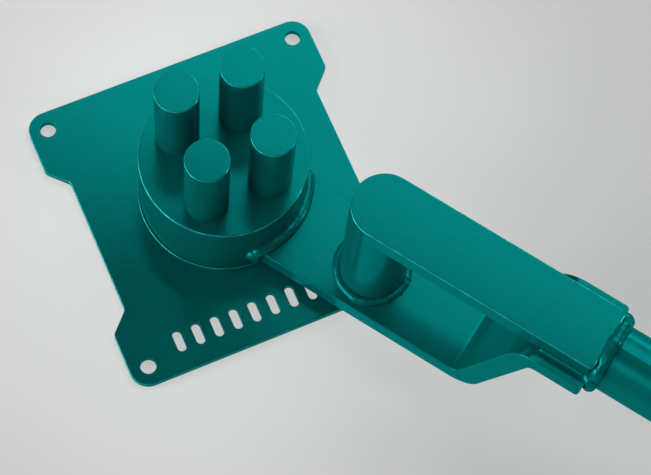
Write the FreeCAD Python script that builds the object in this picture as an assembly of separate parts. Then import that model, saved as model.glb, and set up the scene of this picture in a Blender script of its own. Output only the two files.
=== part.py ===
import FreeCAD, Part
import math
import os

os.makedirs("parts", exist_ok=True)

# Manual bender for reinforcing bar. Millimetres. +Z is up and X, Y run along the sides of the base plate.
# The origin is the centre of the four bolt holes, on the underside of the base plate.

# ---- base plate ----
plate_length_x = 200.0
plate_length_y = 200.0
plate_thickness = 5.0
plate_edge_round = 0.6
hole_edge_distance = 12.5      # from bolt hole centre to both plate edges; the corners are round about it
bolt_hole_d = 10.5
ear_length = 40.0              # straight side of each corner ear
ear_slope_length = 13.0        # sloping run from the ear in to the waist
waist_inset = 12.6             # how far the sides are drawn in between the ears
ear_corner_r = 5.0

# Row of plain slots along the front edge.
slot_count = 9
slot_width = 6.0
slot_length = 15.0
slot_pitch = 13.0
slot_row_x = -11.0
slot_edge_distance = 13.0

# ---- hub: fixed spindle and head, with the arm's ring turning between plate and head ----
hub_x = 2.0
hub_y = 4.5
hub_edge_round = 1.0
spindle_d = 60.0
washer_thickness = 3.0
washer_lip = 1.5
washer_edge_round = 0.75
ring_height = 30.4
head_height = 27.0
turning_gap = 0.3              # free height above and below the ring
bush_wall = 3.0
bush_clearance = 0.05          # radial, between bush and spindle

screw_d = 10.0
screw_head_d = 20.0
screw_radius = 17.0            # from hub axis to screw axis
screw_thread_depth = 15.0
screw_hole_clearance = 0.5
screw_socket = 6.0
screw_socket_depth = 3.0
screw_count = 4

dowel_count = 2
dowel_first_angle = 45.0       # degrees about the hub axis, from +X
dowel_d = 8.0
dowel_radius = 10.0
dowel_depth_spindle = 12.0
dowel_depth_head = 10.0

# ---- bending pins ----
pin_d = 28.0
pin_height = 69.3
pin_seat_depth = 18.0
pin_gap_x = 15.0               # free width between the left pair and the right pair
pin_gap_y = 20.0               # free width between front row and back row, where the rod lies
pin_edge_round = 0.8
pin_rim = 7.8                  # from the pins' outer sides to the rim of the turret head

# ---- arm, measured along its own line from the hub axis ----
arm_angle = -55.5              # degrees about Z, at rest
arm_width = 60.0
arm_thickness = 15.0
arm_ground_gap = 8.0           # between base plate and arm
arm_rise = 98.8
arm_ramp_angle = 73.3
arm_bend_r = 6.0               # inside radius of both bends
arm_bend_station = 198.5       # where the low run meets the ramp, at mid thickness
arm_raised_length = 38.0       # from the upper bend, at mid thickness, to the arm's end
arm_edge_round = 1.0
arm_corner_r = 3.0

post_station = 113.0
post_d = 42.4

bar_thickness = 14.0           # its width follows from the post
bar_edge_round = 1.0
bar_corner_r = 3.5

# ---- handle ----
tube_d = 42.4
tube_wall = 3.2
tube_length = 800.0
plug_depth = 22.0
plug_rim = 4.0
plug_edge_round = 2.5

# ---- welds: reach along each of the two faces that they join ----
weld_flat = 0.8                # width left on the outer corners of every weld
hub_weld_leg = 4.5
post_weld_leg = 4.5
post_top_weld_leg = 3.0
bar_weld_leg = 5.0
bar_weld_length = 28.0
bar_weld_end_gap = 3.0         # from the weld to the arm's end
tube_weld_run = 6.0            # out along the tube
tube_weld_rise = 4.5           # out across the end faces of arm and bar

# ---- levels and places that follow from the sizes above ----
washer_top = plate_thickness + washer_thickness
ring_bottom = washer_top + turning_gap
ring_top = ring_bottom + ring_height
head_bottom = ring_top + turning_gap
head_top = head_bottom + head_height
pin_top = head_top + pin_height
spindle_r = spindle_d / 2
bush_inner_r = spindle_r + bush_clearance
bush_outer_r = bush_inner_r + bush_wall
pin_x = (pin_gap_x + pin_d) / 2
pin_y = (pin_gap_y + pin_d) / 2
hub_r = math.hypot(pin_x, pin_y) + pin_d / 2 + pin_rim

bar_width = post_d             # the bar's half-round nose is flush with the post
arm_bottom = plate_thickness + arm_ground_gap
arm_top = arm_bottom + arm_thickness
bar_bottom = arm_top + arm_rise
high_bend_station = arm_bend_station + arm_rise / math.tan(math.radians(arm_ramp_angle))
arm_end_station = high_bend_station + arm_raised_length
bar_top = bar_bottom + bar_thickness
tube_r = tube_d / 2
tube_z = bar_top - tube_r      # the tube's top is level with the top of the bar
overlap = 1.0                  # how far a cutting tool runs past the face that it cuts
tiny = 1e-4                    # lengths below this count as nothing

UP = FreeCAD.Vector(0, 0, 1)
ALONG = FreeCAD.Vector(1, 0, 0)


def vec(x, y, z):
    return FreeCAD.Vector(x, y, z)


def cylinder(radius, bottom, top, x=0.0, y=0.0):
    """Upright cylinder between two levels."""
    return Part.makeCylinder(radius, top - bottom, vec(x, y, bottom), UP)


def block(x0, x1, y0, y1, z0, z1):
    """Box between two corners."""
    return Part.makeBox(x1 - x0, y1 - y0, z1 - z0, vec(x0, y0, z0))


def fused(shapes):
    """One clean solid made of several that touch or overlap."""
    first, rest = shapes[0], shapes[1:]
    return first.fuse(rest).removeSplitter()


def rounded_face(corners, place):
    """Flat face with rounded corners (u, v, radius). place turns (u, v) into a point."""
    edges = []
    starts = []
    ends = []
    middles = []
    count = len(corners)
    for i in range(count):
        u, v, radius = corners[i]
        here = vec(u, v, 0)
        back = vec(corners[i - 1][0], corners[i - 1][1], 0).sub(here).normalize()
        ahead = vec(corners[(i + 1) % count][0], corners[(i + 1) % count][1], 0).sub(here).normalize()
        half = back.getAngle(ahead) / 2
        run = radius / math.tan(half)
        to_centre = back.add(ahead).normalize()
        reach = radius / math.sin(half)
        starts.append(here.add(back.multiply(run)))
        ends.append(here.add(ahead.multiply(run)))
        middles.append(here.add(to_centre.multiply(reach - radius)))
    for i in range(count):
        start, middle, end = (place(p.x, p.y) for p in (starts[i], middles[i], ends[i]))
        following = place(starts[(i + 1) % count].x, starts[(i + 1) % count].y)
        edges.append(Part.Arc(start, middle, end).toShape())
        if end.distanceToPoint(following) > tiny:
            edges.append(Part.makeLine(end, following))
    return Part.Face(Part.Wire(edges))


def flat_edges(shape, level):
    """Edges that lie wholly in the plane z = level."""
    found = []
    for edge in shape.Edges:
        box = edge.BoundBox
        if abs(box.ZMin - level) < tiny and abs(box.ZMax - level) < tiny:
            found.append(edge)
    return found


def side_edges(shape, half_width):
    """Edges that lie wholly in one of the planes y = +-half_width."""
    found = []
    for edge in shape.Edges:
        box = edge.BoundBox
        if abs(abs(box.Center.y) - half_width) < tiny and box.YLength < tiny:
            found.append(edge)
    return found


def save(name, shape):
    """Write one node's STEP file."""
    shape.exportStep(os.path.join("parts", name + ".step"))


def on_hub(shape):
    """Move a shape drawn about the Z axis on to the hub axis."""
    moved = shape.copy()
    moved.translate(vec(hub_x, hub_y, 0))
    return moved


def on_arm(shape):
    """Turn a shape drawn with the arm along +X to the arm's angle, on the hub axis."""
    turned = shape.copy()
    turned.rotate(vec(0, 0, 0), UP, arm_angle)
    return on_hub(turned)


def ring_of_points(count, radius, first_angle):
    """Points evenly spaced on a circle about the Z axis."""
    angles = [math.radians(first_angle + 360.0 * i / count) for i in range(count)]
    return [(radius * math.cos(a), radius * math.sin(a)) for a in angles]


def screw_head_cone(grow):
    """Countersunk head, wide end down on the underside of the plate."""
    depth = (screw_head_d - screw_d) / 2 - grow
    return Part.makeCone(screw_head_d / 2, screw_d / 2 + grow, depth, vec(0, 0, 0), UP)


def screw_places():
    return ring_of_points(screw_count, screw_radius, 0.0)


def dowel_places():
    return ring_of_points(dowel_count, dowel_radius, dowel_first_angle)


def plate_corner_points():
    """Outline of the base plate, anticlockwise from the front right corner, with each corner's radius."""
    half_x = plate_length_x / 2
    half_y = plate_length_y / 2
    waist_x = half_x - waist_inset
    ear_y = half_y - ear_length
    waist_y = ear_y - ear_slope_length
    right = [
        (half_x, -half_y, hole_edge_distance),
        (half_x, -ear_y, ear_corner_r),
        (waist_x, -waist_y, ear_corner_r),
        (waist_x, waist_y, ear_corner_r),
        (half_x, ear_y, ear_corner_r),
        (half_x, half_y, hole_edge_distance),
    ]
    left = [(-x, y, r) for x, y, r in reversed(right)]
    return right + left


def slot_cutter(x, y_low):
    """Upright slot with round ends."""
    radius = slot_width / 2
    y0 = y_low + radius
    y1 = y_low + slot_length - radius
    low, high = -overlap, plate_thickness + overlap
    middle = block(x - radius, x + radius, y0, y1, low, high)
    return fused([middle, cylinder(radius, low, high, x, y0), cylinder(radius, low, high, x, y1)])


def make_base_plate():
    face = rounded_face(plate_corner_points(), lambda u, v: vec(u, v, 0))
    plate = face.extrude(vec(0, 0, plate_thickness))
    rims = flat_edges(plate, 0.0) + flat_edges(plate, plate_thickness)
    plate = plate.makeFillet(plate_edge_round, rims)
    hole_x = plate_length_x / 2 - hole_edge_distance
    hole_y = plate_length_y / 2 - hole_edge_distance
    cutters = []
    for sx in (-1, 1):
        for sy in (-1, 1):
            x, y = sx * hole_x, sy * hole_y
            cutters.append(cylinder(bolt_hole_d / 2, -overlap, plate_thickness + overlap, x, y))
    slot_y = -plate_length_y / 2 + slot_edge_distance
    for i in range(slot_count):
        cutters.append(slot_cutter(slot_row_x + (i - (slot_count - 1) / 2) * slot_pitch, slot_y))
    shank_r = screw_d / 2 + screw_hole_clearance
    for x, y in screw_places():
        countersink = screw_head_cone(screw_hole_clearance)
        countersink.translate(vec(hub_x + x, hub_y + y, 0))
        cutters.append(countersink)
        cutters.append(cylinder(shank_r, 0, plate_thickness + overlap, hub_x + x, hub_y + y))
    return plate.cut(cutters)


def make_thrust_washer():
    outer = cylinder(hub_r + washer_lip, plate_thickness, washer_top)
    outer = outer.makeFillet(washer_edge_round, flat_edges(outer, washer_top))
    return outer.cut(cylinder(spindle_r, plate_thickness - overlap, washer_top + overlap))


def make_spindle():
    spindle = cylinder(spindle_r, plate_thickness, head_bottom)
    shank_r = screw_d / 2 + screw_hole_clearance
    low, high = plate_thickness - overlap, head_bottom + overlap
    cutters = [cylinder(shank_r, low, high, x, y) for x, y in screw_places()]
    for x, y in dowel_places():
        cutters.append(cylinder(dowel_d / 2, head_bottom - dowel_depth_spindle, high, x, y))
    return spindle.cut(cutters)


def make_head():
    head = cylinder(hub_r, head_bottom, head_top)
    head = head.makeFillet(hub_edge_round, flat_edges(head, head_top))
    low = head_bottom - overlap
    cutters = []
    for x, y in pin_places().values():
        cutters.append(cylinder(pin_d / 2, head_top - pin_seat_depth, head_top + overlap, x, y))
    for x, y in screw_places():
        cutters.append(cylinder(screw_d / 2, low, head_bottom + screw_thread_depth, x, y))
    for x, y in dowel_places():
        cutters.append(cylinder(dowel_d / 2, low, head_bottom + dowel_depth_head, x, y))
    return head.cut(cutters)


def hexagon(across_flats, bottom, top):
    """Upright six-sided bar."""
    radius = across_flats / math.sqrt(3)
    points = [vec(x, y, bottom) for x, y in ring_of_points(6, radius, 0.0)]
    return Part.Face(Part.makePolygon(points + points[:1])).extrude(vec(0, 0, top - bottom))


def make_screws():
    """The countersunk screws, each with a hexagon socket in its head."""
    screws = []
    for x, y in screw_places():
        shank = cylinder(screw_d / 2, 0, head_bottom + screw_thread_depth)
        blank = fused([screw_head_cone(0.0), shank])
        screw = blank.cut(hexagon(screw_socket, -overlap, screw_socket_depth))
        screw.translate(vec(x, y, 0))
        screws.append(screw)
    return Part.makeCompound(screws)


def make_dowels():
    low = head_bottom - dowel_depth_spindle
    high = head_bottom + dowel_depth_head
    return Part.makeCompound([cylinder(dowel_d / 2, low, high, x, y) for x, y in dowel_places()])


def pin_places():
    """Centre of each bending pin about the hub axis."""
    return {
        "front_left_pin": (-pin_x, -pin_y),
        "front_right_pin": (pin_x, -pin_y),
        "back_left_pin": (-pin_x, pin_y),
        "back_right_pin": (pin_x, pin_y),
    }


def make_pin(x, y):
    pin = cylinder(pin_d / 2, head_top - pin_seat_depth, pin_top, x, y)
    return pin.makeFillet(pin_edge_round, flat_edges(pin, pin_top))


def make_hub_ring():
    ring = cylinder(hub_r, ring_bottom, ring_top)
    return ring.cut(cylinder(bush_outer_r, ring_bottom - overlap, ring_top + overlap))


def make_ring_bush():
    outer = cylinder(bush_outer_r, ring_bottom, ring_top)
    return outer.cut(cylinder(bush_inner_r, ring_bottom - overlap, ring_top + overlap))


def arm_side_points():
    """Side view of the bent arm plate as (along, up, radius), with the bends' inner and outer radii."""
    half = arm_thickness / 2
    mid_low = arm_bottom + half
    mid_high = mid_low + arm_rise
    shift = half * math.tan(math.radians(arm_ramp_angle) / 2)
    outer_r = arm_bend_r + arm_thickness
    end_r = arm_edge_round / 2
    return [
        (0.0, arm_bottom, end_r),
        (arm_bend_station + shift, mid_low - half, outer_r),
        (high_bend_station + shift, mid_high - half, arm_bend_r),
        (arm_end_station, mid_high - half, end_r),
        (arm_end_station, mid_high + half, end_r),
        (high_bend_station - shift, mid_high + half, outer_r),
        (arm_bend_station - shift, mid_low + half, arm_bend_r),
        (0.0, arm_top, end_r),
    ]


def make_arm_plate():
    half = arm_width / 2
    face = rounded_face(arm_side_points(), lambda u, v: vec(u, -half, v))
    plate = face.extrude(vec(0, arm_width, 0))
    plate = plate.makeFillet(arm_edge_round, side_edges(plate, half))
    corner = arm_end_corners(arm_width, arm_corner_r, arm_top, bar_bottom + overlap)
    return plate.cut([corner, cylinder(hub_r, arm_bottom - overlap, arm_top + overlap)])


def arm_end_corners(width, radius, bottom, top):
    """What to cut off the far end of a flat bar so that its two corners are round."""
    half = width / 2
    end = arm_end_station
    blocks = block(end - radius, end + overlap, -half - overlap, half + overlap, bottom, top)
    keep = [block(end - radius - overlap, end, radius - half, half - radius, bottom, top)]
    for side in (-1, 1):
        keep.append(cylinder(radius, bottom, top, end - radius, side * (half - radius)))
    return blocks.cut(keep)


def make_post():
    return cylinder(post_d / 2, arm_top, bar_bottom, post_station, 0.0)


def make_top_bar():
    """Flat bar with a half-round nose over the post, rounded along its upper edges."""
    half = bar_width / 2
    nose = cylinder(half, bar_bottom, bar_top, post_station, 0.0)
    bar = fused([nose, block(post_station, arm_end_station, -half, half, bar_bottom, bar_top)])
    bar = bar.cut(arm_end_corners(bar_width, bar_corner_r, bar_bottom - overlap, bar_top + overlap))
    return bar.makeFillet(bar_edge_round, flat_edges(bar, bar_top))


def weld_section(run, rise, place):
    """Section of a weld in a corner. place turns (reach along, reach up) into a point."""
    out = math.copysign(weld_flat, run)
    up = math.copysign(weld_flat, rise)
    corners = [place(u, v) for u, v in ((0, 0), (run, 0), (run, up), (out, rise), (0, rise))]
    return Part.Face(Part.makePolygon(corners + corners[:1]))


def make_hub_weld(arm_solid):
    """Collar of weld all round the arm plate where it meets the ring."""
    half_angle = math.asin(arm_width / 2 / hub_r) + hub_weld_leg / hub_r
    low = arm_bottom - hub_weld_leg
    high = arm_top + hub_weld_leg
    outer_r = hub_r + hub_weld_leg
    corners = [vec(hub_r, 0, low), vec(outer_r, 0, low), vec(outer_r, 0, high), vec(hub_r, 0, high)]
    section = Part.Face(Part.makePolygon(corners + corners[:1]))
    section.rotate(vec(0, 0, 0), UP, -math.degrees(half_angle))
    collar = section.revolve(vec(0, 0, 0), UP, math.degrees(2 * half_angle))
    outer = [e for e in collar.Edges if all(abs(math.hypot(v.X, v.Y) - outer_r) < tiny for v in e.Vertexes)]
    collar = collar.makeChamfer(hub_weld_leg - weld_flat, outer)
    return collar.cut(arm_solid)


def post_weld(level, run, rise, half_angle):
    """Weld round the post on a level face, as far as half_angle either side of the handle's direction."""
    axis = vec(post_station, 0, 0)
    section = weld_section(run, rise, lambda u, v: vec(post_station + post_d / 2 + u, 0, level + v))
    section.rotate(axis, UP, -half_angle)
    return section.revolve(axis, UP, 2 * half_angle)


def make_post_top_weld():
    """Weld under the bar, as far round the post as the bar's underside reaches past it."""
    half_angle = math.degrees(math.asin(bar_width / 2 / (post_d / 2 + post_top_weld_leg)))
    return post_weld(bar_bottom, post_top_weld_leg, -post_top_weld_leg, half_angle)


def make_bar_welds():
    """One run on each side of the top bar, on the raised end of the arm plate."""
    runs = []
    start = arm_end_station - bar_weld_end_gap - bar_weld_length
    for side in (-1, 1):
        y = side * bar_width / 2
        section = weld_section(side * bar_weld_leg, bar_weld_leg,
                               lambda u, v: vec(start, y + u, bar_bottom + v))
        runs.append(section.extrude(vec(bar_weld_length, 0, 0)))
    return Part.makeCompound(runs)


def make_handle_tube():
    outer = Part.makeCylinder(tube_r, tube_length, vec(arm_end_station, 0, tube_z), ALONG)
    bore = Part.makeCylinder(tube_r - tube_wall, tube_length, vec(arm_end_station, 0, tube_z), ALONG)
    return outer.cut(bore)


def make_tube_weld():
    """Weld round the tube's end on the end faces of bar and arm, as far down as the arm plate reaches."""
    drop = math.degrees(math.asin((tube_z - (bar_bottom - arm_thickness)) / tube_r))
    axis = vec(arm_end_station, 0, tube_z)
    section = weld_section(tube_weld_run, tube_weld_rise,
                           lambda u, v: vec(arm_end_station + u, tube_r + v, tube_z))
    section.rotate(axis, ALONG, -drop)
    return section.revolve(axis, ALONG, 180 + 2 * drop)


def make_end_plug():
    end_x = arm_end_station + tube_length
    body = Part.makeCylinder(tube_r - tube_wall, plug_depth, vec(end_x - plug_depth, 0, tube_z), ALONG)
    rim = Part.makeCylinder(tube_r, plug_rim, vec(end_x, 0, tube_z), ALONG)
    outer = [e for e in rim.Edges if abs(e.BoundBox.XMin - end_x - plug_rim) < tiny]
    return fused([body, rim.makeFillet(plug_edge_round, outer)])


ring = make_hub_ring()
arm = make_arm_plate()

save("base_plate", make_base_plate())
save("thrust_washer", on_hub(make_thrust_washer()))
save("spindle", on_hub(make_spindle()))
save("turret_head", on_hub(make_head()))
save("turret_screws", on_hub(make_screws()))
save("turret_dowels", on_hub(make_dowels()))
for pin_name, (x, y) in pin_places().items():
    save(pin_name, on_hub(make_pin(x, y)))

save("hub_ring", on_arm(ring))
save("ring_bush", on_arm(make_ring_bush()))
save("arm_plate", on_arm(arm))
save("hub_weld", on_arm(make_hub_weld(arm)))
save("post", on_arm(make_post()))
save("post_foot_weld", on_arm(post_weld(arm_top, post_weld_leg, post_weld_leg, 180)))
save("top_bar", on_arm(make_top_bar()))
save("post_top_weld", on_arm(make_post_top_weld()))
save("bar_side_welds", on_arm(make_bar_welds()))
save("handle_tube", on_arm(make_handle_tube()))
save("handle_weld", on_arm(make_tube_weld()))
save("handle_plug", on_arm(make_end_plug()))
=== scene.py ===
"""Looks of the rebar bender, built round its CAD model. Metres, in the CAD model's own frame."""

import math

import bmesh
import bpy
from mathutils import Matrix, Vector, noise


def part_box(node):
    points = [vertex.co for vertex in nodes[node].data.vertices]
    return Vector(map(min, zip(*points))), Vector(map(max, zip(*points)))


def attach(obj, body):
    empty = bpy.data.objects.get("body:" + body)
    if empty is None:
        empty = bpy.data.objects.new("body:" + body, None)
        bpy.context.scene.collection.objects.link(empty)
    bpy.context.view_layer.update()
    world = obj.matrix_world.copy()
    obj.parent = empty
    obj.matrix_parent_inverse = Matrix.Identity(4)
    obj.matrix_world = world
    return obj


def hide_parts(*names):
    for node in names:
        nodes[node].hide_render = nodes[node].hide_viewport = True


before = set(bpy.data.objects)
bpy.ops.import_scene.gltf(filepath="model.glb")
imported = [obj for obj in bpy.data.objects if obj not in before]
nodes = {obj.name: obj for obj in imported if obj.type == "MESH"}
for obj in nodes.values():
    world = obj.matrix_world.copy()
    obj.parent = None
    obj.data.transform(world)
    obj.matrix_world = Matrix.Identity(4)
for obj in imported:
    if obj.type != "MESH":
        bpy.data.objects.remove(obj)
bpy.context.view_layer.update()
scene = bpy.context.scene


# ---------------------------------------------------------------- materials
class Tree:
    """Small helper that wires one node material."""

    def __init__(self, name):
        self.material = bpy.data.materials.new(name)
        self.material.use_nodes = True
        self.nodes = self.material.node_tree.nodes
        self.links = self.material.node_tree.links
        self.nodes.clear()
        self.out = self.nodes.new("ShaderNodeOutputMaterial")
        self.bsdf = self.nodes.new("ShaderNodeBsdfPrincipled")
        self.link(self.bsdf.outputs[0], self.out.inputs[0])
        self.coords = self.nodes.new("ShaderNodeTexCoord").outputs["Object"]

    def link(self, source, target):
        self.links.new(source, target)

    def noise(self, scale, detail=4.0, roughness=0.55, stretch=None):
        """Noise of that scale per metre. stretch squeezes it along the axes, as for brushed metal."""
        texture = self.nodes.new("ShaderNodeTexNoise")
        texture.inputs["Scale"].default_value = scale
        texture.inputs["Detail"].default_value = detail
        texture.inputs["Roughness"].default_value = roughness
        if stretch is None:
            self.link(self.coords, texture.inputs["Vector"])
        else:
            mapping = self.nodes.new("ShaderNodeMapping")
            mapping.inputs["Scale"].default_value = stretch
            self.link(self.coords, mapping.inputs["Vector"])
            self.link(mapping.outputs[0], texture.inputs["Vector"])
        return texture.outputs["Fac"]

    def spread(self, value, low, high, start=0.0, end=1.0):
        """value from start..end brought to low..high."""
        brought = self.nodes.new("ShaderNodeMapRange")
        brought.inputs["From Min"].default_value = start
        brought.inputs["From Max"].default_value = end
        brought.inputs["To Min"].default_value = low
        brought.inputs["To Max"].default_value = high
        self.link(value, brought.inputs["Value"])
        return brought.outputs[0]

    def mix(self, factor, a, b):
        """Colours a and b mixed by factor. Each colour is a tuple or a socket."""
        blend = self.nodes.new("ShaderNodeMix")
        blend.data_type = "RGBA"
        self.link(factor, blend.inputs["Factor"])
        for key, colour in (("A", a), ("B", b)):
            socket = [s for s in blend.inputs if s.name == key and s.type == "RGBA"][0]
            if isinstance(colour, tuple):
                socket.default_value = (*colour, 1.0)
            else:
                self.link(colour, socket)
        return [s for s in blend.outputs if s.type == "RGBA"][0]

    def math(self, operation, a, b):
        """Sum, product or the like of two sockets."""
        result = self.nodes.new("ShaderNodeMath")
        result.operation = operation
        self.link(a, result.inputs[0])
        self.link(b, result.inputs[1])
        return result.outputs[0]

    def bump(self, height, strength, distance, base=None):
        """Surface normal with that relief, on top of the relief in base."""
        relief = self.nodes.new("ShaderNodeBump")
        relief.inputs["Strength"].default_value = strength
        relief.inputs["Distance"].default_value = distance
        self.link(height, relief.inputs["Height"])
        if base is not None:
            self.link(base, relief.inputs["Normal"])
        return relief.outputs[0]

    def edges(self, radius):
        """About 0 on flat faces and rising towards 1 along outside edges."""
        bevel = self.nodes.new("ShaderNodeBevel")
        bevel.samples = 4
        bevel.inputs["Radius"].default_value = radius
        geometry = self.nodes.new("ShaderNodeNewGeometry")
        dot = self.nodes.new("ShaderNodeVectorMath")
        dot.operation = "DOT_PRODUCT"
        self.link(bevel.outputs[0], dot.inputs[0])
        self.link(geometry.outputs["Normal"], dot.inputs[1])
        return self.spread(dot.outputs["Value"], 1.0, 0.0, start=0.80, end=0.99)


def along_edges(tree):
    """Rising towards 1 along every edge of a painted piece, where the coat is paler and a highlight is
    painted.
    """
    return tree.edges(radius=0.0014)


def round_rims(tree):
    """About 1 on the rounded edge between a level and an upright face, 0 on both faces: where the pale coat
    and painted highlight go.
    """
    geometry = tree.nodes.new("ShaderNodeNewGeometry")
    split = tree.nodes.new("ShaderNodeSeparateXYZ")
    tree.link(geometry.outputs["Normal"], split.inputs[0])
    rise = split.outputs["Z"]
    off_upright = tree.spread(rise, 0.0, 1.0, start=0.20, end=0.45)
    off_level = tree.spread(rise, 1.0, 0.0, start=0.88, end=0.985)
    return tree.math("MULTIPLY", off_upright, off_level)


def powder_coat(name, grain_depth, rough_low, rough_high, rim_coat_and_highlight_mask):
    """Deep teal powder coat: fine grain, faint clouding, and pale rims where the mask says, partly thinner
    paint and partly a painted highlight.
    """
    deep = (0.0005, 0.162, 0.154)
    bright = (0.0008, 0.186, 0.178)
    grain_tip = (0.003, 0.300, 0.288)
    # Pale teal on rims and edges: partly thinner paint, partly a painted highlight where light catches
    # them.
    thin_coat_and_highlight = (0.030, 0.560, 0.540)
    tree = Tree(name)
    cloud = tree.noise(scale=9.0, detail=3.0)
    grain = tree.noise(scale=1050.0, detail=2.5, roughness=0.6)
    tone = tree.mix(tree.spread(cloud, 0.0, 1.0, start=0.35, end=0.65), deep, bright)
    tone = tree.mix(tree.spread(grain, 0.06, 0.30, start=0.30, end=0.72), tone, grain_tip)
    # Rims and edges are mixed towards the pale teal: thinner paint together with a painted highlight.
    if rim_coat_and_highlight_mask is not None:
        patches = tree.spread(tree.noise(scale=160.0, detail=5.0), 0.45, 1.0, start=0.42, end=0.68)
        tone = tree.mix(tree.math("MULTIPLY", rim_coat_and_highlight_mask(tree), patches), tone, thin_coat_and_highlight)
    tree.link(tone, tree.bsdf.inputs["Base Color"])
    tree.bsdf.inputs["Metallic"].default_value = 0.52
    tree.link(tree.spread(cloud, rough_low, rough_high, start=0.3, end=0.7), tree.bsdf.inputs["Roughness"])
    tree.bsdf.inputs["Specular IOR Level"].default_value = 0.0
    tree.bsdf.inputs["Specular Tint"].default_value = (0.10, 0.80, 0.78, 1.0)
    peel = tree.bump(tree.noise(scale=330.0, detail=2.0), 0.16, grain_depth * 1.6)
    tree.link(tree.bump(grain, 0.35, grain_depth, peel), tree.bsdf.inputs["Normal"])
    return tree.material


def machined_steel(name, dark, light, rough_low, rough_high, squeeze, scale):
    """Bare or blacked metal with turning marks, squeezed along the hub's axis, and faint stains."""
    stained = tuple(c * 0.55 for c in light)
    rubbed = tuple(min(1.0, c * 1.5) for c in light)
    tree = Tree(name)
    marks = tree.noise(scale, 3.0, 0.6, (1.0, 1.0, squeeze))
    stain = tree.noise(scale=60.0, detail=4.0)
    tone = tree.mix(tree.spread(marks, 0.0, 1.0, start=0.3, end=0.7), dark, light)
    tone = tree.mix(tree.spread(stain, 0.0, 0.5, start=0.45, end=0.75), tone, stained)
    tone = tree.mix(tree.edges(radius=0.0006), tone, rubbed)
    tree.link(tone, tree.bsdf.inputs["Base Color"])
    tree.bsdf.inputs["Metallic"].default_value = 1.0
    uneven = tree.spread(tree.math("ADD", marks, stain), rough_low, rough_high, start=0.7, end=1.3)
    tree.link(uneven, tree.bsdf.inputs["Roughness"])
    tree.link(tree.bump(marks, 0.25, 0.0001), tree.bsdf.inputs["Normal"])
    return tree.material


def moulded_plastic():
    """Black moulded plastic with a fine spark-eroded grain."""
    black = (0.010, 0.010, 0.011)
    off_black = (0.019, 0.019, 0.020)
    scuffed = (0.050, 0.050, 0.052)
    tree = Tree("plug")
    grain = tree.noise(scale=1800.0, detail=2.0)
    cloud = tree.noise(scale=35.0, detail=4.0)
    tone = tree.mix(tree.spread(cloud, 0.0, 1.0, start=0.3, end=0.7), black, off_black)
    tone = tree.mix(tree.spread(tree.edges(radius=0.0015), 0.0, 0.5), tone, scuffed)
    tree.link(tone, tree.bsdf.inputs["Base Color"])
    tree.link(tree.spread(cloud, 0.46, 0.60, start=0.3, end=0.7), tree.bsdf.inputs["Roughness"])
    tree.link(tree.bump(grain, 0.5, 0.00008), tree.bsdf.inputs["Normal"])
    return tree.material


def studio_floor():
    """Matt pale studio floor with the slightest mottling, and a soft glow that fades away from the tool."""
    glow_under_tool = 0.53
    glow_far_off = 0.25
    fade_length = 0.36
    tree = Tree("floor")
    mottle = tree.noise(scale=14.0, detail=5.0)
    tree.link(tree.mix(mottle, (0.40, 0.41, 0.405), (0.43, 0.44, 0.435)), tree.bsdf.inputs["Base Color"])
    tree.link(tree.spread(mottle, 0.80, 0.92), tree.bsdf.inputs["Roughness"])
    tree.bsdf.inputs["Specular IOR Level"].default_value = 0.2
    tree.bsdf.inputs["Emission Color"].default_value = (1.0, 1.0, 1.0, 1.0)
    distance = tree.nodes.new("ShaderNodeVectorMath")
    distance.operation = "LENGTH"
    tree.link(tree.coords, distance.inputs[0])
    glow = tree.spread(distance.outputs["Value"], glow_under_tool, glow_far_off, start=0.0, end=fade_length)
    glow.node.interpolation_type = "SMOOTHSTEP"
    tree.link(glow, tree.bsdf.inputs["Emission Strength"])
    return tree.material


GRAIN = 0.00009
paint = powder_coat("paint", GRAIN, 0.15, 0.22, along_edges)
rim_paint = powder_coat("rim_paint", GRAIN, 0.15, 0.22, round_rims)
tube_paint = powder_coat("tube_paint", GRAIN, 0.28, 0.35, along_edges)
weld_paint = powder_coat("weld_paint", 0.00010, 0.25, 0.34, None)

# The finish of each of the record's slots: two tones, two roughnesses, squeeze and scale of the marks.
finishes = {
    "paint": paint,
    "steel": machined_steel(
        "steel", (0.36, 0.37, 0.38), (0.55, 0.56, 0.57), 0.25, 0.42, 12.0, 160.0),
    "dark_steel": machined_steel(
        "dark_steel", (0.020, 0.020, 0.022), (0.045, 0.045, 0.048), 0.32, 0.5, 8.0, 220.0),
    "bronze": machined_steel(
        "bronze", (0.45, 0.27, 0.10), (0.62, 0.40, 0.17), 0.28, 0.45, 10.0, 180.0),
    "plug": moulded_plastic(),
}

# Painted pieces that don't have the slot's plain paint: where the faces are level or upright,
# only the rounded rims are pale, with thinner paint and a painted highlight on them, and the tube is
# duller.
level_pieces = ["base_plate", "thrust_washer", "turret_head", "hub_ring", "post", "top_bar",
                "front_left_pin", "front_right_pin", "back_left_pin", "back_right_pin"]
own_paint = {name: rim_paint for name in level_pieces}
own_paint["handle_tube"] = tube_paint


def finish_of(node):
    """The finish for the slot that a CAD node uses."""
    for material in node.data.materials:
        slot_name = material.name.split(".")[0] if material is not None else None
        if slot_name in finishes:
            return finishes[slot_name]
    return paint


def dress_nodes():
    """Gives every CAD node its finish."""
    for name, node in nodes.items():
        finish = own_paint.get(name, finish_of(node))
        node.data.materials.clear()
        node.data.materials.append(finish)


dress_nodes()


# ---------------------------------------------------------------- weld beads
STEP = 0.0006             # between the cross-sections of a long bead
SHORT_STEP = 0.0005       # between those of a lump, and of the smooth hub weld
AROUND = 28               # corners of a cross-section
CRESCENT_TRAIL = 0.44     # how far a crescent trails back at its two sides, in bead radii
RIDGE_LEVEL = 0.6         # part of a crescent's height that lies inside the bead's own radius
LUMPS_PER_METRE = 110.0
PITS_PER_METRE = 300.0
PITS_AROUND = 1.3
PIT_DEPTH = 0.03
TIP_RADIUS = 0.00002      # of the closed ends


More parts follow.
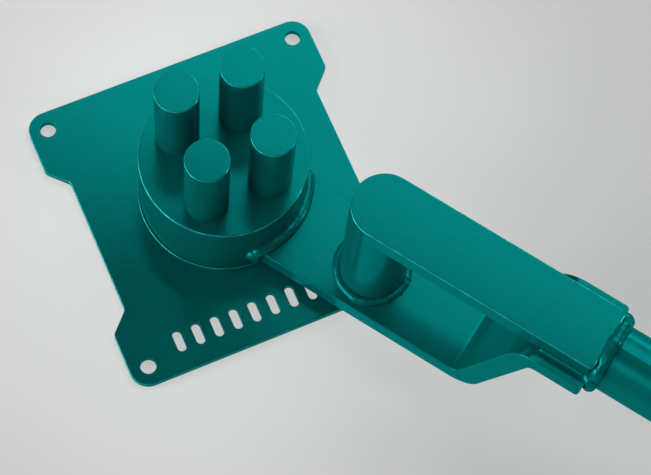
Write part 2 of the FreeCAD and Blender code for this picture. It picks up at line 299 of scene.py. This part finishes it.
def weld_object(name, mesh):
    """A smooth painted object from a mesh."""
    mesh.polygons.foreach_set("use_smooth", [True] * len(mesh.polygons))
    mesh.materials.append(weld_paint)
    obj = bpy.data.objects.new(name, mesh)
    scene.collection.objects.link(obj)
    return obj


def swept_bead(name, path, ups, radius, seed, ripple, ripple_depth, lumps=0.16):
    """Closed mesh of one weld run along path: overlapping crescents, slow lumps, rounded ends."""
    count = len(path)
    travelled = [0.0]
    for a, b in zip(path, path[1:]):
        travelled.append(travelled[-1] + (b - a).length)
    total = travelled[-1]
    verts, faces = [], []
    for i, (centre, up, s) in enumerate(zip(path, ups, travelled)):
        ahead = (path[min(i + 1, count - 1)] - path[max(i - 1, 0)]).normalized()
        side = ahead.cross(up).normalized()
        top = side.cross(ahead).normalized()
        to_end = min(s, total - s)
        cap = math.sqrt(max(0.0, 1.0 - (1.0 - min(to_end / radius, 1.0)) ** 2))
        slow_lump = noise.noise(Vector((s * LUMPS_PER_METRE, seed * 7.31, seed * 3.17)))
        for k in range(AROUND):
            angle = 2.0 * math.pi * k / AROUND
            across = math.cos(angle)
            over = math.sin(angle)
            phase = (s + CRESCENT_TRAIL * radius * across * across) / ripple
            tooth = phase - math.floor(phase)
            ridge = 1.0 - (2.0 * tooth - 1.0) ** 2
            pit_place = Vector((s * PITS_PER_METRE, across * PITS_AROUND + seed, over * PITS_AROUND))
            r = radius * (1.0 + ripple_depth * (ridge - RIDGE_LEVEL) + lumps * slow_lump)
            r *= 1.0 + PIT_DEPTH * noise.noise(pit_place)
            r = max(r * cap, TIP_RADIUS)
            verts.append(centre + side * (r * across) + top * (r * over))
    for i in range(count - 1):
        for k in range(AROUND):
            a = i * AROUND + k
            b = i * AROUND + (k + 1) % AROUND
            faces.append((a, b, b + AROUND, a + AROUND))
    faces.append(tuple(range(AROUND - 1, -1, -1)))
    faces.append(tuple((count - 1) * AROUND + k for k in range(AROUND)))
    mesh = bpy.data.meshes.new(name)
    mesh.from_pydata([tuple(v) for v in verts], [], faces)
    return weld_object(name, mesh)


def even(points, step):
    """The same line of points, re-spaced evenly."""
    out, carry = [points[0]], 0.0
    for a, b in zip(points, points[1:]):
        gap = (b - a).length
        while gap > 0 and carry + gap >= step:
            a = a.lerp(b, (step - carry) / gap)
            out.append(a.copy())
            gap = (b - a).length
            carry = 0.0
        carry += gap
    out.append(points[-1])
    return out


def turns(first, last, steps):
    """Evenly spaced angles from first to last."""
    return [first + (last - first) * i / steps for i in range(steps + 1)]


def joined(name, parts):
    """Several beads made into one object."""
    bm = bmesh.new()
    for part in parts:
        bm.from_mesh(part.data)
    mesh = bpy.data.meshes.new(name)
    bm.to_mesh(mesh)
    bm.free()
    obj = weld_object(name, mesh)
    for part in parts:
        old = part.data
        bpy.data.objects.remove(part)
        bpy.data.meshes.remove(old)
    return obj


def fit_to_arm(obj, *cad_nodes):
    """The bead moves with the arm and is shown in place of those CAD nodes."""
    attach(obj, "arm")
    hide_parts(*cad_nodes)


# Places read from the frame.
ring_lo, ring_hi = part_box("hub_ring")
hub = (ring_lo + ring_hi) / 2
hub_r = (ring_hi.x - ring_lo.x) / 2
post_lo, post_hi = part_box("post")
post_axis = (post_lo + post_hi) / 2
post_r = (post_hi.x - post_lo.x) / 2
bar_half = post_r             # the bar is as wide as the post
bar_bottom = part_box("top_bar")[0].z
arm_top = post_lo.z
arm_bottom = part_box("arm_plate")[0].z
arm_half = 0.030              # half the width of the arm plate
arm_dir = Vector((post_axis.x - hub.x, post_axis.y - hub.y, 0.0)).normalized()
arm_side = Vector((-arm_dir.y, arm_dir.x, 0.0))
arm_turn = math.atan2(arm_dir.y, arm_dir.x)
arm_end = max(Vector((v.co.x - hub.x, v.co.y - hub.y, 0.0)).dot(arm_dir)
              for v in nodes["arm_plate"].data.vertices)
UP = Vector((0.0, 0.0, 1.0))


def arm_point(station, across, z):
    """A point by its distance along the arm from the hub's axis, its distance across, and its height."""
    return Vector((hub.x, hub.y, z)) + arm_dir * station + arm_side * across


def post_point(angle, radius, z):
    """A point by its direction and distance from the post's axis, and its height."""
    return Vector((post_axis.x + radius * math.cos(angle), post_axis.y + radius * math.sin(angle), z))


def make_hub_weld():
    """Smooth run over the arm where it meets the ring and down both edges, with a blob at the near one."""
    reach = math.asin(arm_half / hub_r)
    corner = hub_r * math.cos(reach)
    edge = arm_half + 0.0004
    low, high = arm_bottom + 0.002, arm_top - 0.001
    near = [arm_point(corner + 0.0004, -edge, z) for z in (low, high)]
    top = [arm_point(hub_r * math.cos(a) + 0.0010, hub_r * math.sin(a), arm_top + 0.0006)
           for a in turns(-reach, reach, 60)]
    far = [arm_point(corner + 0.0004, edge, z) for z in (high, low)]
    line = even(near + top + far, SHORT_STEP)
    leaning = UP + arm_dir * 0.6
    bead = swept_bead("hub_weld_bead", line, [leaning] * len(line), 0.0045, 3,
                      ripple=0.0040, ripple_depth=0.014, lumps=0.08)
    blob_line = even([arm_point(corner - 0.0058, -arm_half - 0.0040, arm_top - 0.0050),
                      arm_point(corner - 0.0010, -arm_half - 0.0016, arm_top - 0.0022),
                      arm_point(corner + 0.0026, -arm_half + 0.0030, arm_top - 0.0002)], SHORT_STEP)
    blob = swept_bead("hub_weld_blob", blob_line, [UP] * len(blob_line), 0.0050, 11,
                      ripple=0.006, ripple_depth=0.01, lumps=0.02)
    fit_to_arm(joined("hub_weld_run", [bead, blob]), "hub_weld")


def make_post_foot_weld():
    """Slim run of weld round the foot of the post, with heavier lumps on the side towards the handle."""
    bead_z = arm_top + 0.0002
    line = []
    for a in turns(0.0, 2 * math.pi, 360):
        wave = noise.noise(Vector((math.cos(a) * 2.2, math.sin(a) * 2.2, 5.0)))
        line.append(post_point(a, post_r + 0.0012 + 0.0008 * wave, bead_z))
    line = even(line, STEP)
    parts = [swept_bead("post_foot_bead", line, [UP] * len(line), 0.0031, 7,
                        ripple=0.0052, ripple_depth=0.04)]
    lump_places = ((-66, 0.0043), (-41, 0.0039), (-20, 0.0044), (6, 0.0040), (31, 0.0042))
    lump_spread = 0.14
    for k, (degrees, radius) in enumerate(lump_places):
        middle = math.radians(degrees)
        ends = [post_point(middle + d, post_r + 0.0014, bead_z) for d in (-lump_spread, lump_spread)]
        lump_line = even(ends, SHORT_STEP)
        parts.append(swept_bead(f"post_foot_lump_{k}", lump_line, [UP] * len(lump_line), radius, 20 + k,
                                ripple=0.006, ripple_depth=0.02))
    fit_to_arm(joined("post_foot_run", parts), "post_foot_weld")


def make_handle_weld():
    """Uneven run on the end faces of bar and arm, round the tube, with a lump at each lower end."""
    tube_lo, tube_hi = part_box("handle_tube")
    tube_z = (tube_lo.z + tube_hi.z) / 2
    tube_r = (tube_hi.z - tube_lo.z) / 2
    raised_arm_bottom = bar_bottom - (arm_top - arm_bottom)
    drop = math.asin((tube_z - raised_arm_bottom) / tube_r)
    line = []
    for a in turns(-drop, math.pi + drop, 200):
        wave = noise.noise(Vector((a * 2.6, 9.0, 1.0)))
        r = tube_r + 0.0002 + 0.0008 * wave
        line.append(arm_point(arm_end + 0.0028 + 0.0010 * wave, r * math.cos(a), tube_z + r * math.sin(a)))
    line = even(line, STEP)
    ups = []
    for p in line:
        out = p - arm_point(arm_end, 0.0, tube_z)
        out -= arm_dir * out.dot(arm_dir)
        ups.append(out.normalized())
    parts = [swept_bead("handle_bead", line, ups, 0.0042, 13, ripple=0.0065, ripple_depth=0.05, lumps=0.26)]
    for k, side in enumerate((-1.0, 1.0)):
        ends = [arm_point(arm_end + 0.0015, side * tube_r * 0.92, bar_bottom - 0.004),
                arm_point(arm_end + 0.0010, side * (tube_r + 0.0012), bar_bottom + 0.004)]
        lump_line = even(ends, SHORT_STEP)
        parts.append(swept_bead(f"handle_lump_{k}", lump_line, [arm_dir] * len(lump_line), 0.0058, 31 + k,
                                ripple=0.007, ripple_depth=0.03))
    fit_to_arm(joined("handle_run", parts), "handle_weld")


def make_bar_side_welds():
    """A run along each lower edge of the top bar, on the raised end of the arm plate."""
    parts = []
    for k, side in enumerate((-1.0, 1.0)):
        ends = [arm_point(arm_end - from_end, side * (bar_half + 0.0002), bar_bottom + 0.0002)
                for from_end in (0.033, 0.002)]
        line = even(ends, STEP)
        parts.append(swept_bead(f"bar_side_bead_{k}", line, [UP] * len(line), 0.0019, 41 + k,
                                ripple=0.005, ripple_depth=0.02, lumps=0.05))
    fit_to_arm(joined("bar_side_runs", parts), "bar_side_welds")


def make_post_top_weld():
    """Run under the bar, round the part of the post that faces the handle."""
    line = [post_point(arm_turn + math.radians(degrees), post_r, post_hi.z)
            for degrees in turns(-58, 58, 120)]
    line = even(line, STEP)
    bead = swept_bead("post_top_run", line, [-UP] * len(line), 0.0026, 51,
                      ripple=0.0045, ripple_depth=0.06, lumps=0.15)
    fit_to_arm(bead, "post_top_weld")


# ---------------------------------------------------------------- camera and studio
def make_camera():
    """A long lens that looks down on the hub and the raised end of the arm."""
    data = bpy.data.cameras.new("camera")
    data.lens = 125.92
    data.sensor_width = 36.0
    data.sensor_fit = "HORIZONTAL"
    camera = bpy.data.objects.new("camera", data)
    right = Vector((0.9153317, -0.39910442, 0.05369863))
    up = Vector((0.35985721, 0.87049626, 0.33576636))
    back = Vector((-0.1807503, -0.28801376, 0.94041342))
    turn = Matrix((right, up, back)).transposed().to_4x4()
    camera.matrix_world = Matrix.Translation((-0.21646, -0.47768, 1.39743)) @ turn
    scene.collection.objects.link(camera)
    scene.camera = camera


def area_light(name, place, target, width, height, watts):
    """A white rectangle of light at place, facing target."""
    data = bpy.data.lights.new(name, "AREA")
    data.shape = "RECTANGLE"
    data.size = width
    data.size_y = height
    data.energy = watts
    obj = bpy.data.objects.new(name, data)
    place, target = Vector(place), Vector(target)
    obj.location = place
    obj.rotation_euler = (target - place).to_track_quat("-Z", "Y").to_euler()
    scene.collection.objects.link(obj)


def make_floor():
    """A wide square just under the plate."""
    half = 6.0
    z = -0.0005
    corners = [(-half, -half, z), (half, -half, z), (half, half, z), (-half, half, z)]
    mesh = bpy.data.meshes.new("floor")
    mesh.from_pydata(corners, [], [(0, 1, 2, 3)])
    mesh.materials.append(studio_floor())
    floor = bpy.data.objects.new("floor", mesh)
    scene.collection.objects.link(floor)


def make_studio():
    """Floor, faint sky and five soft lights."""
    make_floor()
    world = bpy.data.worlds.new("world")
    world.use_nodes = True
    background = world.node_tree.nodes["Background"]
    background.inputs["Color"].default_value = (0.95, 0.98, 1.0, 1.0)
    background.inputs["Strength"].default_value = 0.04
    scene.world = world
    # The overhead light hangs almost level beyond the tool, so that level faces mirror its near edge.
    area_light("overhead", (1.130, 0.898, 2.0), (1.089, 0.865, 0.0), 2.6, 1.65, 25.5)
    area_light("left", (-2.50, 0.20, 0.90), (0.0, 0.0, 0.08), 3.0, 1.4, 60.0)
    area_light("front_left", (-0.90, -1.00, 2.0), (0.1, -0.1, 0.1), 0.9, 0.9, 4.5)
    area_light("back_right", (1.60, 1.08, 0.55), (0.1, -0.1, 0.1), 1.2, 0.5, 8.0)
    area_light("rim", (1.4, -0.9, 0.6), (0.1, -0.05, 0.06), 0.4, 0.8, 4.5)
    scene.view_settings.view_transform = "Standard"
    scene.view_settings.look = "None"


make_hub_weld()
make_post_foot_weld()
make_handle_weld()
make_bar_side_welds()
make_post_top_weld()
make_camera()
make_studio()
